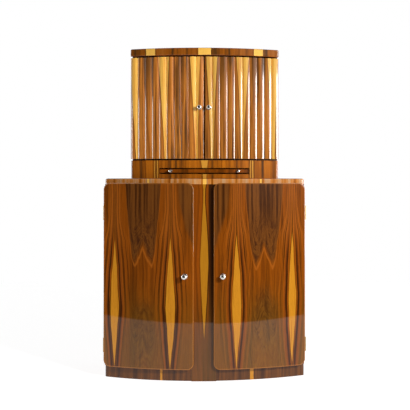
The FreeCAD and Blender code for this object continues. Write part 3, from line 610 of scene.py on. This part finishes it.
def lower_door_veneer(node, look):
    """Veneer with pale flames, dark lines beside them and a dark feathered plume."""
    sheet = Sheet([node])
    finish, x, y, z = new_finish(f"{node}_veneer")
    wander = finish.noise(x * 6, 3.0, z * 5) - 0.5
    jitter = finish.noise(x * 90, 1.0, z * 16) - 0.5
    across = x + wander * DOOR_SWAY + jitter * DOOR_JITTER
    fine = fine_grain(finish, look, x, y, z)
    broad = streaks(finish, look, across, 0.0, z, seed=sheet.low.x)
    tint = finish.ramp(broad, (
        (0.30, look.dark), (0.42, look.brown), (0.52, look.amber), (0.62, look.brown), (0.76, look.red)))
    calm = finish.mix(finish.noise(across * 12, 1.0, z * 4), look.brown, look.amber)
    tint = finish.mix(0.3, tint, calm)
    outside = least_of([flame(across, z + wander * FLAME_SWAY, sheet, shares)
                        for shares in LOWER_FLAME_SHARES[node]])
    tint = flame_lines(finish, look, sheet, tint, outside, z, wander)

    # the plume with its rim of amber, and the smudge under it
    drift = finish.noise(x * 24, 7.0, z * 11, detail=3) - 0.5
    depth = z - plume_edge(sheet, across, PLUME_SHARES[node]) + drift * PLUME_DRIFT
    feather = feathering(finish, across, depth, drift)
    plume = finish.ramp(feather, (
        (0.41, look.plume_dark), (0.48, look.plume), (0.53, look.plume_light), (0.58, look.plume)))
    ribbons = finish.noise(across * 85, 4.0, z * 1.6, detail=3)
    crown = finish.ramp(ribbons, ((0.42, look.dark), (0.50, look.plume), (0.60, look.plume_light)))
    plume = finish.mix(finish.smooth(z, *sheet.levels(CROWN_SHARES)) * 0.85, plume, crown)
    tint = finish.mix(finish.smooth(depth, *PLUME_EDGE) * 0.94, tint, plume)
    rim = finish.smooth(depth, *RIM_START) * finish.fade(depth, *RIM_END)
    tint = finish.mix(rim * 0.75, tint, look.pale_amber)
    smudge_tint = finish.ramp(feather, (
        (0.42, look.plume_dark), (0.50, look.plume), (0.60, look.plume_light)))
    tint = finish.mix(smudge(finish, sheet, across, z, drift, SMUDGE_SHARES[node]), tint, smudge_tint)

    # darker and browner towards the foot, and the dark top corner
    foot = finish.fade(z, *sheet.levels(BROWN_FOOT_SHARES)) * finish.smooth(outside, *FOOT_START)
    foot_tint = finish.ramp(feather, ((0.38, look.foot_dark), (0.58, look.foot_light)))
    tint = finish.mix(foot * 0.65, tint, foot_tint)
    corner = dark_corner(finish, sheet, x, z, drift)
    tint = finish.mix(corner * 0.95, tint, finish.mix(0.75, plume, crown))

    # the flames over all, a painted highlight along the rounded rim, and plain veneer on the back
    vein = finish.noise(across * 240, 2.0, z * 3.5)
    flame_tint = finish.ramp(vein, ((0.26, look.amber), (0.40, look.gold), (0.70, look.gold)))
    tint = finish.mix(finish.fade(outside, *FLAME_EDGE), tint, flame_tint)
    # a pale line in a lit tone along the rim: a painted highlight of the rounded edge
    rim_highlight = painted_rim_highlight(finish, sheet, x, z, look.door_corner)
    tint = finish.mix(rim_highlight * 0.38, tint, look.painted_lit_amber)
    out = (x ** 2.0 + (y - BOW_CENTRE.y) ** 2.0) ** 0.5
    rear = finish.fade(out - look.door_middle, *REAR_EDGE)
    quiet = finish.ramp(broad, ((0.34, look.brown), (0.50, look.amber), (0.66, look.brown)))
    tint = finish.mix(rear, tint, quiet)
    # painted light towards the door's left edge
    inwards = finish.smooth(x, sheet.low.x, sheet.across(OUTER_PAINTED_LIGHT_REACH_SHARE))
    outer_painted_light = (1 - inwards) * OUTER_PAINTED_LIGHT_SHARES[node] + 1
    return lacquered(finish, look, tint, fine, contrast=0.60, light=outer_painted_light)


def reed_veneer(stage, look):
    """Upper door veneer: pale flames that narrow downwards between brown streaks in lit tones. Each door is
    painted lighter or darker as a whole, and darker towards its bottom.
    """
    sheet = Sheet([f"{stage}_reeds"])
    finish, x, y, z = new_finish(f"{stage}_veneer")
    wander = finish.noise(x * 7, 5.0, z * 3) - 0.5
    jitter = finish.noise(x * 110, 1.0, z * 14) - 0.5
    across = x + wander * REED_SWAY + jitter * REED_JITTER
    rise = sheet.rise(z)
    fine = fine_grain(finish, look, x, y, z)
    broad = streaks(finish, look, across, 0.0, z, seed=sheet.low.x)
    tint = finish.ramp(broad, (
        (0.32, look.umber), (0.41, look.painted_lit_brown), (0.50, look.painted_lit_amber), (0.57, look.painted_lit_brown),
        (0.64, look.umber), (0.72, look.painted_lit_amber)))
    ribbons = finish.noise(across * 130, 6.0, z * 1.3, detail=3)
    tint = finish.mix(finish.smooth(ribbons, 0.50, 0.66) * 0.5, tint, look.umber)
    tint = finish.mix(finish.fade(ribbons, 0.34, 0.44) * 0.6, tint, look.painted_lit_amber)
    shade_band = finish.noise(across * 34, 0.0, rise * 0.8 + sheet.low.x)
    dusk = finish.smooth(rise, *DUSK_SHARES) * finish.smooth(shade_band, 0.44, 0.56)
    tint = finish.mix(dusk * 0.75, tint, look.umber)
    outside = least_of([tapering_flame(across, rise, sheet, shares) for shares in UPPER_FLAME_SHARES[stage]])
    beside = finish.fade(outside, *UPPER_SHADE_END) * 0.7
    tint = finish.mix(beside, tint, finish.ramp(outside / UPPER_SHADE_REACH, (
        (0.0, look.umber), (0.22, look.painted_lit_brown), (0.55, look.painted_lit_amber), (1.0, look.painted_lit_brown))))
    vein = finish.noise(across * 260, 2.0, z * 3)
    flame_tint = finish.ramp(vein, (
        (0.32, look.painted_lit_amber), (0.46, look.pale_gold), (0.70, look.pale_gold)))
    veins = finish.smooth(finish.noise(across * 95, 8.0, z * 1.4, detail=3), 0.46, 0.66)
    flame_tint = finish.mix(veins * 0.6, flame_tint, look.flame_vein)
    tint = finish.mix(finish.fade(outside, *UPPER_FLAME_EDGE) * 0.94, tint, flame_tint)
    # painted light and shade: the door's own factor, and darker towards the bottom where less light falls
    light = PAINTED_SHEET_LIGHT_SHARES[stage] * (rise * 0.10 + 0.93)
    return lacquered(finish, look, tint, fine, contrast=0.48, light=light, reeded=True)


def banding(name, nodes, look, tones, stripe):
    """Cross-banding with pale stripes that runs on over several nodes, with quiet veneer on the
    level faces. The tones go from dark to light."""
    sheet = Sheet(nodes)
    dark, middle, light = tones
    finish, x, y, z = new_finish(f"{name}_veneer")
    rise = sheet.rise(z)
    fine_edge = fine_grain(finish, look, x, y, z)
    jitter = finish.noise(x * 60, 2.0, z * 20) - 0.5
    across = x + jitter * BAND_JITTER
    edge_streaks = streaks(finish, look, across * 0.8, 0.0, z, seed=sheet.low.z)
    edge = finish.ramp(edge_streaks, ((0.36, dark), (0.47, middle), (0.60, light)))
    for shares in STRIPE_SHARES[name]:
        outside = tapering_flame(across, rise, sheet, shares)
        shade = finish.smooth(outside, *STRIPE_SHADE_START) * finish.fade(outside, *STRIPE_SHADE_END)
        edge = finish.mix(shade * 0.5, edge, dark)
        edge = finish.mix(finish.fade(outside, *STRIPE_EDGE), edge, stripe)
    edge = finish.mix(finish.smooth(y - sheet.high.y, *BACK_EDGE), edge, look.brown)
    fine_top = fine_grain(finish, look, y, z, x)
    top_streaks = streaks(finish, look, y * 0.5, z, x, seed=sheet.low.z)
    top = finish.ramp(top_streaks, ((0.32, look.dark), (0.46, look.brown), (0.60, look.amber)))
    level = finish.smooth(finish.facing(), 0.55, 0.75)
    fine = finish.blend(level, fine_edge, fine_top)
    tint = finish.mix(level, edge, top)
    wear(lacquered(finish, look, tint, fine, contrast=0.52), *nodes)


def upright_veneer(name, look, seed):
    """Quiet veneer with its grain upright, for sides and rails."""
    finish, x, y, z = new_finish(name)
    side = x + y
    fine = fine_grain(finish, look, side, 0.0, z)
    broad = streaks(finish, look, side * 0.6, 0.0, z, seed=seed)
    arch = finish.noise(side * 5 + seed, 0.0, z * 0.8) - 0.5
    wave = finish.noise((broad + arch) * 9, 0.0, 0.0)
    tint = finish.ramp(wave * 0.5 + broad * 0.5, (
        (0.34, look.dark), (0.45, look.brown), (0.55, look.amber), (0.66, look.brown)))
    return lacquered(finish, look, tint, fine, contrast=0.48)


def column_veneer(node, look):
    """The middle column, with one long pale flame and dark lines beside it, painted light on its left and a
    painted shadow of the right door on its right.
    """
    sheet = Sheet([node])
    finish, x, y, z = new_finish(f"{node}_veneer")
    wander = finish.noise(x * 6, 9.0, z * 5) - 0.5
    across = x + wander * COLUMN_SWAY
    fine = fine_grain(finish, look, x, y, z)
    broad = streaks(finish, look, across, 0.0, z, seed=0.4)
    tint = finish.ramp(broad, ((0.32, look.dark), (0.44, look.brown), (0.56, look.amber)))
    middle, _, foot, widest, tip = COLUMN_FLAME_SHARES
    neck = sheet.level(tip)
    beside = across - sheet.across(middle)
    crown = abs(beside) - (z - neck).most(0.0) * COLUMN_NECK_SPREAD_SHARE - COLUMN_NECK_HALF
    crown = crown.most((neck - COLUMN_NECK_LENGTH - z) * 0.5)
    outside = flame(across, z, sheet, COLUMN_FLAME_SHARES).least(crown)
    lines = finish.ramp(outside / COLUMN_LINES_REACH, (
        (0.00, look.dark), (0.08, look.dark), (0.16, look.amber), (0.40, look.amber), (0.50, look.dark),
        (0.60, look.dark), (0.72, look.amber), (1.00, look.brown)))
    tint = finish.mix(finish.fade(outside, *COLUMN_LINES_END) * 0.85, tint, lines)
    climb = finish.smooth(z, sheet.low.z, sheet.level(widest))
    # painted light: amber over the left half, growing upwards
    lit = finish.fade(beside, *COLUMN_PAINTED_LIGHT_END) * climb
    tint = finish.mix(lit * 0.55, tint, look.amber)
    # painted shadow of the right door along the column's right side
    tint = finish.mix(finish.smooth(beside, *COLUMN_PAINTED_SHADOW_START) * 0.95, tint, look.dark)
    gold = finish.fade(outside, *COLUMN_FLAME_EDGE)
    tint = finish.mix(gold, tint, look.column_shaded_gold)
    below = finish.fade(z, sheet.level(foot / 2), sheet.level(widest))
    foot_tint = finish.ramp(broad, ((0.38, look.foot_dark), (0.66, look.plume_light)))
    tint = finish.mix(below * (1 - gold) * 0.9, tint, foot_tint)
    return lacquered(finish, look, tint, fine, contrast=0.52)


def plain_wood(name, look, along, satin):
    """Plain satin wood for the inside, its grain along x, y or z."""
    finish, x, y, z = new_finish(name)
    order = {"x": (y, z, x), "y": (x, z, y), "z": (x, y, z)}[along]
    fine = fine_grain(finish, look, *order)
    broad = streaks(finish, look, *order, seed=2.0)
    tint = finish.ramp(broad, ((0.30, look.plain_dark), (0.62, look.plain)))
    return finish.set(
        Base_Color=finish.shade(tint, 0.82 + 0.36 * fine),
        Roughness=satin + 0.15 * fine,
        Normal=finish.bump(fine, distance=look.open_pore_depth, strength=0.6),
        Specular_IOR_Level=0.25,
    )


def metal(name, tint, roughness, mottle, rub_depth):
    """Bright or dulled metal with faint smears."""
    finish, x, y, z = new_finish(name)
    smear = finish.noise(x * 140, y * 140, z * 140, detail=4)
    rub = finish.noise(x * 900, y * 900, z * 900, detail=2)
    return finish.set(
        Base_Color=finish.shade(tint, 1 - mottle + 2 * mottle * smear),
        Metallic=1.0,
        Roughness=roughness * (0.6 + 0.8 * smear),
        Normal=finish.bump(rub, distance=rub_depth, strength=0.4),
    )


@cache
def nickel():
    """Bright metal, made once for all the pieces that share it."""
    look = bpy.context.scene.cabinet_fittings
    return metal("nickel", look.nickel, look.nickel_roughness, look.nickel_mottle, look.rub_depth)


def brass(look):
    return metal("brass", look.brass, look.brass_roughness, look.brass_mottle, look.rub_depth)


def shelf_glass(look):
    """Clear glass with faint waves."""
    finish, x, y, z = new_finish("shelf_glass")
    waves = finish.noise(x * 3, y * 3, z * 3)
    return finish.set(
        Base_Color=look.glass,
        Roughness=0.002 + 0.01 * waves,
        Transmission_Weight=1.0,
        IOR=1.5,
    )


def silvered(look):
    """Mirror glass whose silvering has dulled in spots."""
    finish, x, y, z = new_finish("silvered_mirror")
    age = finish.smooth(finish.noise(x * 8, y * 8, z * 8, detail=5), 0.62, 0.78)
    return finish.set(
        Base_Color=finish.mix(age * 0.5, look.mirror, look.mirror_spots),
        Metallic=0.75,
        Roughness=0.01 + 0.10 * age,
    )


def add_object(name, data):
    made = bpy.data.objects.new(name, data)
    bpy.context.scene.collection.objects.link(made)
    return made


def skin(build, rings):
    """Joins rings of points by faces and closes the ends. Gives each face between two rings with its
    place round them."""
    sides = []
    for lower, upper in zip(rings, rings[1:]):
        for place in range(len(lower)):
            after = (place + 1) % len(lower)
            over = upper if len(upper) == 1 else (upper[after], upper[place])
            sides.append((place, build.faces.new((lower[place], lower[after], *over))))
    build.faces.new(reversed(rings[0]))
    if len(rings[-1]) > 1:
        build.faces.new(rings[-1])
    return sides


def door_piece(door, made, node, build):
    """A finished mesh as a piece that rides on a door and stands in for one of the door's nodes."""
    bmesh.ops.recalc_face_normals(build, faces=build.faces)
    mesh = bpy.data.meshes.new(f"{door}_{made}")
    build.to_mesh(mesh)
    build.free()
    piece = add_object(f"{door}_{made}", mesh)
    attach(piece, f"{door}_door_body")
    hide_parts(f"{door}_{node}")
    return piece


def knob_outline():
    """A turned knob's outline from its foot outwards, in the shares given above."""
    flange_out, flange_along = FLANGE_SHARES[-1]
    waist_out, waist_along = WAIST_SHARES
    head_out, head_middle, head_reach = HEAD_SHARES
    points = list(FLANGE_SHARES)
    for step in range(1, WAIST_STEPS + 1):
        turn = math.pi / 2 * step / WAIST_STEPS
        points.append((flange_out - (flange_out - waist_out) * math.sin(turn),
                       flange_along + (waist_along - flange_along) * (1 - math.cos(turn))))
    for step in range(1, STEM_STEPS + 1):
        part = step / STEM_STEPS
        points.append((waist_out - STEM_HOLLOW_SHARE * math.sin(math.pi * part),
                       waist_along + (STEM_END_SHARE - waist_along) * part))
    points.append(COLLAR_SHARES)
    for step in range(HEAD_STEPS + 1):
        turn = HEAD_START + (math.pi / 2 - HEAD_START) * step / HEAD_STEPS
        points.append((head_out * max(math.cos(turn), 0.0) ** HEAD_FULLNESS,
                       head_middle + head_reach * math.sin(turn)))
    return points


def turned_knob(door, foot, direction, radius, length):
    """A door's knob, turned about its own axis from its foot on the door outwards."""
    build = bmesh.new()
    rings = []
    for out, along in knob_outline():
        if out < POINT_SHARE:
            rings.append([build.verts.new((0, 0, along * length))])
            continue
        ring = []
        for step in range(KNOB_TURNS):
            turn = 2 * math.pi * step / KNOB_TURNS
            ring.append(build.verts.new(
                (out * radius * math.cos(turn), out * radius * math.sin(turn), along * length)))
        rings.append(ring)
    for _, face in skin(build, rings):
        face.smooth = True
    aim = UP.rotation_difference(direction).to_matrix().to_4x4()
    build.transform(Matrix.Translation(foot) @ aim)
    wear(nickel(), door_piece(door, "turned_knob", "knob", build))


def reed_rings(sizes, half_angle, low, high):
    """A reed's outlines from bottom to top, as rings of points across, outwards and up."""
    foot_radius = sizes.tip_radius - sizes.bulge
    half = foot_radius * math.sin(half_angle)
    radius = (half * half + sizes.bulge * sizes.bulge) / (2 * sizes.bulge)
    reach = math.asin(half / radius)
    ends = []
    for step in range(END_STEPS + 1):
        turn = math.pi / 2 * step / END_STEPS
        ends.append((sizes.end_round * (1 - math.cos(turn)), sizes.end_round * (1 - math.sin(turn))))
    levels = [(low + rise, inset) for rise, inset in ends]
    levels += [(high - rise, inset) for rise, inset in reversed(ends)]
    rings = []
    for level, inset in levels:
        out = radius - inset
        ring = [(-half, foot_radius - sizes.foot, level)]
        for step in range(REED_STEPS + 1):
            turn = reach * (2 * step / REED_STEPS - 1)
            ring.append((out * math.sin(turn), sizes.tip_radius - radius + out * math.cos(turn), level))
        ring.append((half, foot_radius - sizes.foot, level))
        rings.append(ring)
    return rings


def reeds(side, stage, sizes):
    """A row of smooth reeds that stands in for the door's reeds."""
    low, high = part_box(f"{stage}_reeds")
    root_radius = sizes.tip_radius - sizes.bulge - sizes.foot
    first = math.asin(sizes.meeting / 2 / root_radius)
    last = math.asin(max(abs(low.x), abs(high.x)) / root_radius)
    half_angle = (last - first) / (2 * REEDS)
    outlines = reed_rings(sizes, half_angle, low.z, high.z)
    build = bmesh.new()
    for reed in range(REEDS):
        middle = (first + half_angle * (2 * reed + 1)) * side
        rings = []
        for outline in outlines:
            ring = []
            for across, out, level in outline:
                x = across * math.cos(middle) + out * math.sin(middle)
                y = across * math.sin(middle) - out * math.cos(middle)
                ring.append(build.verts.new((x, BOW_CENTRE.y + y, level)))
            rings.append(ring)
        for place, face in skin(build, rings):
            face.smooth = 0 < place < len(rings[0]) - 2
    return door_piece(stage, "smooth_reeds", "reeds", build)


class CABINET_OT_case(bpy.types.Operator):
    """Veneers the case, the plinth, the deck and the column"""

    bl_idname = "cabinet.case"
    bl_label = "Case"

    def execute(self, context):
        look = context.scene.cabinet_veneer
        # The deck's edge takes lit tones and a pale tone that is partly a painted highlight of its rounded
        # edge.
        tones = (look.waist_brown, look.painted_lit_amber, look.deck_pale_and_painted_highlight)
        banding("deck", ["deck"], look, tones, look.pale_gold)
        tones = (look.plume_dark, look.plume, look.plume_light)
        banding("plinth", ["plinth_front"], look, tones, look.gold)
        wear(column_veneer("centre_column", look), "centre_column")
        outside = upright_veneer("case_side_veneer", look, seed=1.3)
        wear(outside, "lower_left_side", "lower_right_side", "plinth_left", "plinth_right")
        return {"FINISHED"}


class CABINET_OT_lower_doors(bpy.types.Operator):
    """Veneers the two lower doors"""

    bl_idname = "cabinet.lower_doors"
    bl_label = "Lower doors"

    def execute(self, context):
        for node in LOWER_FLAME_SHARES:
            wear(lower_door_veneer(node, context.scene.cabinet_veneer), node)
        return {"FINISHED"}


class CABINET_OT_waist(bpy.types.Operator):
    """Veneers the waist and finishes the serving board"""

    bl_idname = "cabinet.waist"
    bl_label = "Waist and serving board"

    def execute(self, context):
        look = context.scene.cabinet_veneer
        tones = (look.umber, look.waist_brown, look.waist_amber)
        front = ["waist_lower_rail", "waist_upper_rail", "waist_left_block", "waist_right_block"]
        banding("waist", front, look, tones, look.waist_gold)
        wear(upright_veneer("lipping_veneer", look, seed=2.2), "board_lipping")
        side = upright_veneer("waist_side_veneer", look, seed=4.1)
        wear(side, "waist_left_side", "waist_right_side")
        wear(plain_wood("board_wood", look, "x", satin=0.22), "serving_board")
        return {"FINISHED"}


class CABINET_OT_upper_cupboard(bpy.types.Operator):
    """Veneers the upper doors, sides and slab"""

    bl_idname = "cabinet.upper_cupboard"
    bl_label = "Upper cupboard"

    def execute(self, context):
        look = context.scene.cabinet_veneer
        side = upright_veneer("upper_side_veneer", look, seed=7.7)
        wear(side, "upper_left_side", "upper_right_side", "upper_left_door", "upper_right_door")
        for turn, word in SIDES:
            stage = f"upper_{word}"
            wear(reed_veneer(stage, look), reeds(turn, stage, context.scene.cabinet_reeds))
        tones = (look.umber, look.waist_brown, look.painted_lit_brown)
        banding("top_slab", ["top_slab"], look, tones, look.pale_gold)
        return {"FINISHED"}


class CABINET_OT_inside(bpy.types.Operator):
    """Finishes shelves, backs, runners, mirror and glass"""

    bl_idname = "cabinet.inside"
    bl_label = "Inside"

    def execute(self, context):
        look = context.scene.cabinet_veneer
        wear(plain_wood("plain_upright_wood", look, "z", satin=0.38),
             "lower_divider", "lower_back", "upper_back", "waist_back")
        wear(plain_wood("plain_level_wood", look, "x", satin=0.38),
             "lower_base", "upper_base", "lower_left_shelf", "lower_right_shelf", "plinth_back")
        wear(plain_wood("plain_deep_wood", look, "y", satin=0.45),
             "left_runner", "right_runner", "plinth_cross_rail")
        wear(silvered(context.scene.cabinet_fittings), "mirror")
        wear(shelf_glass(context.scene.cabinet_fittings), "glass_shelf")
        return {"FINISHED"}


class CABINET_OT_fittings(bpy.types.Operator):
    """Finishes hinges, pins, catches and screws"""

    bl_idname = "cabinet.fittings"
    bl_label = "Hinges, catches and pins"

    def execute(self, context):
        wear(brass(context.scene.cabinet_fittings),
             "hinge_case_leaves", "hinge_pins", *(f"{door}_door_leaves" for door in DOORS))
        wear(nickel(), "shelf_pins", "catches", "board_pegs", "board_knobs")
        for door in DOORS:
            wear(nickel(), f"{door}_strike", f"{door}_knob_screw")
        return {"FINISHED"}


class CABINET_OT_knobs(bpy.types.Operator):
    """Turns the knobs of the doors"""

    bl_idname = "cabinet.knobs"
    bl_label = "Knobs"

    def execute(self, context):
        for door in DOORS:
            low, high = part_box(f"{door}_knob")
            middle = (low + high) / 2
            outwards = middle - BOW_CENTRE
            outwards.z = 0
            outwards.normalize()
            corners = [vertex.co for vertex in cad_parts[f"{door}_knob"].data.vertices]
            along = [(corner - middle).dot(outwards) for corner in corners]
            foot = middle + outwards * min(along)
            radius = (high.z - low.z) / 2
            turned_knob(door, foot, outwards, radius, max(along) - min(along))
        return {"FINISHED"}


class CABINET_OT_studio(bpy.types.Operator):
    """Makes the floor, the room, the lamps and the camera"""

    bl_idname = "cabinet.studio"
    bl_label = "Studio"

    def execute(self, context):
        studio = context.scene.cabinet_studio
        self.floor(studio)
        self.room(context, studio)
        self.lamp("key_softbox", studio.key_level).visible_diffuse = False
        self.lamp("fill_softbox", studio.fill_level).visible_diffuse = False
        self.lamp("key_wash", studio.wash_level).visible_glossy = False
        self.camera(context, studio)
        context.scene.view_settings.view_transform = "Standard"
        return {"FINISHED"}

    def floor(self, studio):
        """A pale floor with straight sides and a round front."""
        mesh = bpy.data.meshes.new("floor")
        corners = [(studio.floor_side, studio.floor_back, 0), (-studio.floor_side, studio.floor_back, 0)]
        for step in range(FLOOR_STEPS + 1):
            turn = math.pi * step / FLOOR_STEPS
            corners.append((-studio.floor_side * math.cos(turn), -studio.floor_front * math.sin(turn), 0))
        mesh.from_pydata(corners, [], [range(len(corners))])
        finish, x, y, z = new_finish("pale_floor")
        cloud = finish.noise(x * 1.5, y * 1.5, z)
        finish.set(
            Base_Color=finish.ramp(cloud, ((0.2, studio.floor_dark), (0.8, studio.floor_light))),
            Roughness=0.9,
            Specular_IOR_Level=0.1,
            Emission_Color=(1, 1, 1),
            Emission_Strength=studio.floor_glow,
        )
        mesh.materials.append(finish.material)
        add_object("floor", mesh)

    def room(self, context, studio):
        """Even light on all sides, lit up for gloss at the right and behind, and white in view."""
        world = bpy.data.worlds.new("room")
        context.scene.world = world
        world.use_nodes = True
        room = Graph(world.node_tree)
        background = room.tree.nodes["Background"]
        x, y, z = room.directions("Generated")
        beside = room.smooth(x, *ROOM_RIGHT) * room.smooth(z, *ROOM_UP) * studio.room_beside
        behind = room.smooth(y, *ROOM_BACK) * studio.room_behind
        gloss = studio.room_front + beside + behind
        seen = room.node("ShaderNodeLightPath", output="Is Camera Ray")
        glossy = room.node("ShaderNodeLightPath", output="Is Glossy Ray")
        through = room.node("ShaderNodeLightPath", output="Is Transmission Ray")
        level = room.blend(glossy, studio.room_level, gloss)
        room.feed(background.inputs["Color"], (1, 1, 1))
        room.feed(background.inputs["Strength"], room.blend(seen.most(through), level, 1.0))

    def lamp(self, name, power):
        place, target, width, height = LAMPS[name]
        data = bpy.data.lights.new(name, "AREA")
        data.shape = "RECTANGLE"
        data.size = width
        data.size_y = height
        data.energy = power
        lamp = add_object(name, data)
        lamp.location = place
        lamp.rotation_euler = (Vector(target) - Vector(place)).to_track_quat("-Z", "Y").to_euler()
        return lamp

    def camera(self, context, studio):
        data = bpy.data.cameras.new("camera")
        data.lens = studio.focal_pixels / PICTURE_SIDE * data.sensor_width
        data.shift_x = (PICTURE_SIDE / 2 - studio.middle_across) / PICTURE_SIDE
        data.shift_y = (studio.middle_down - PICTURE_SIDE / 2) / PICTURE_SIDE
        camera = add_object("camera", data)
        camera.location = (studio.eye_right, -studio.eye_front, studio.eye_height)
        camera.rotation_euler = (math.pi / 2 + studio.tilt, 0, -studio.turn)
        context.scene.camera = camera


class CABINET_PT_panel(bpy.types.Panel):
    """The cabinet's steps in the sidebar"""

    bl_label = "Bar Cabinet"
    bl_space_type = "VIEW_3D"
    bl_region_type = "UI"
    bl_category = "Cabinet"

    def draw(self, context):
        for step in STEPS:
            self.layout.operator(step.bl_idname)
        for name, kind in GROUPS.items():
            for prop in kind.__annotations__:
                self.layout.prop(getattr(context.scene, name), prop)


STEPS = (
    CABINET_OT_case,
    CABINET_OT_lower_doors,
    CABINET_OT_waist,
    CABINET_OT_upper_cupboard,
    CABINET_OT_inside,
    CABINET_OT_fittings,
    CABINET_OT_knobs,
    CABINET_OT_studio,
)
GROUPS = {
    "cabinet_veneer": CABINET_PG_veneer,
    "cabinet_reeds": CABINET_PG_reeds,
    "cabinet_fittings": CABINET_PG_fittings,
    "cabinet_studio": CABINET_PG_studio,
}
CLASSES = (*GROUPS.values(), *STEPS, CABINET_PT_panel)


def register():
    for made in CLASSES:
        bpy.utils.register_class(made)
    for name, kind in GROUPS.items():
        setattr(bpy.types.Scene, name, PointerProperty(type=kind))


def unregister():
    for name in GROUPS:
        delattr(bpy.types.Scene, name)
    for made in reversed(CLASSES):
        bpy.utils.unregister_class(made)


def main():
    register()
    for step in STEPS:
        group, name = step.bl_idname.split(".")
        getattr(getattr(bpy.ops, group), name)()


if __name__ == "__main__":
    main()
